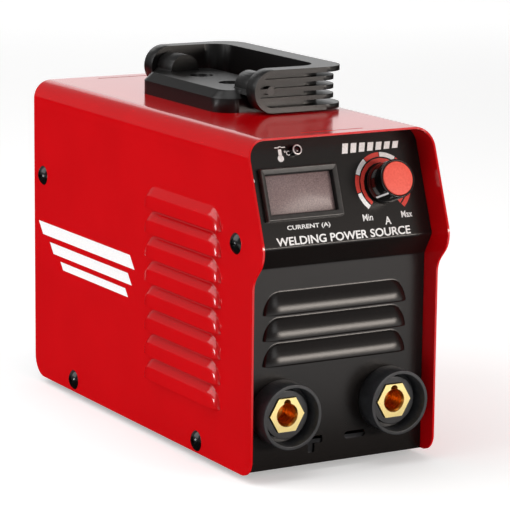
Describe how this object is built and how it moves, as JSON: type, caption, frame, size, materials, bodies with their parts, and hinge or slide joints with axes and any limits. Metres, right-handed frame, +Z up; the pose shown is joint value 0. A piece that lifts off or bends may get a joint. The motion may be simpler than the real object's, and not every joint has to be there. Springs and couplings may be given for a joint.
{
  "type": "stick welding inverter",
  "caption": "Compact stick welding inverter: folded steel case with side louvres, folding carry handle, sloping control panel with meter and current knob, and twist-lock output sockets.",
  "frame": {"origin": "On the ground, under the middle of the case: the bottom face of the feet, halfway across the case and halfway between its frontmost and rearmost points.", "axes": "+Z up, the control panel faces -Y, +X is to the right of a person who faces the panel."},
  "size_m": [0.1252, 0.2921, 0.2129],
  "materials": {
    "red_paint": "gloss",
    "black_paint": "satin",
    "zinc_steel": "satin",
    "black_screw": "gloss",
    "handle_plastic": "fine texture",
    "steel": "satin",
    "rubber": "matte",
    "socket_plastic": "satin",
    "brass": "machined",
    "copper": "satin",
    "bezel_plastic": "satin",
    "tinted_window": "gloss",
    "digit_block": "gloss",
    "circuit_board": "satin",
    "lamp_metal": "gloss",
    "lamp_red": "gloss",
    "knob_plastic": "satin",
    "cap_red": "satin",
    "fan_plastic": "satin",
    "switch_red": "gloss",
    "aluminium": "extruded",
    "device_black": "moulded",
    "capacitor_sleeve": "gloss",
    "relay_blue": "gloss",
    "ferrite": "matte",
    "winding_tape": "satin",
    "spacer_white": "satin"
  },
  "bodies": {
    "case": {"cover": "red_paint", "chassis_tray": "zinc_steel", "front_panel": "black_paint", "rear_panel": "black_paint", "cover_screws": "black_screw", "feet": "rubber", "foot_screws": "steel", "foot_nuts": "steel", "handle_base": "handle_plastic", "handle_pins": "steel", "handle_screws": "black_screw", "handle_nuts": "steel", "socket_nuts": "brass", "meter_bezel": "bezel_plastic", "meter_window": "tinted_window", "meter_display": "digit_block", "meter_board": "circuit_board", "lamp_bezel": "lamp_metal", "lamp_lens": "lamp_red", "potentiometer": "steel", "potentiometer_nut": "steel", "fan_frame": "fan_plastic", "fan_guard": "steel", "fan_screws": "steel", "switch_housing": "device_black", "gland_body": "device_black", "gland_dome": "device_black", "gland_seal": "rubber", "gland_locknut": "device_black", "earth_screw": "brass", "earth_nut": "brass", "heatsink_inverter": "aluminium", "heatsink_output": "aluminium", "heatsink_spacers": "spacer_white", "power_transistors": "device_black", "output_diodes": "device_black", "main_board": "circuit_board", "board_standoffs": "steel", "board_screws": "steel", "control_board": "circuit_board", "filter_capacitors": "capacitor_sleeve", "bridge_rectifier": "device_black", "soft_start_relay": "relay_blue", "transformer_core": "ferrite", "transformer_winding": "winding_tape", "transformer_base": "spacer_white", "socket_housing_positive": "socket_plastic", "socket_insert_positive": "brass", "socket_clamp_positive": "socket_plastic", "busbar_positive": "copper", "socket_housing_negative": "socket_plastic", "socket_insert_negative": "brass", "socket_clamp_negative": "socket_plastic", "busbar_negative": "copper"},
    "handle": {"handle_bail": "handle_plastic"},
    "current_knob": {"potentiometer_shaft": "aluminium", "knob": "knob_plastic", "knob_cap": "cap_red"},
    "fan": {"fan_rotor": "fan_plastic"},
    "rocker": {"switch_rocker": "switch_red"}
  },
  "joints": [
    {"name": "handle_fold", "type": "hinge", "parent": "case", "child": "handle", "pos_m": [0, 0.0125, 0.2007], "axis": [0, -1, 0], "range_deg": [0, 180]},
    {"name": "knob_turn", "type": "hinge", "parent": "case", "child": "current_knob", "pos_m": [0.0315, -0.12029, 0.15631], "axis": [0, 0.9403, -0.3404], "range_deg": [0, 270]},
    {"name": "fan_spin", "type": "hinge", "parent": "case", "child": "fan", "pos_m": [0, 0.116, 0.066], "axis": [0, 1, 0], "continuous": true},
    {"name": "rocker_tilt", "type": "hinge", "parent": "case", "child": "rocker", "pos_m": [-0.03, 0.13045, 0.144], "axis": [1, 0, 0], "range_deg": [0, 20]}
  ]
}
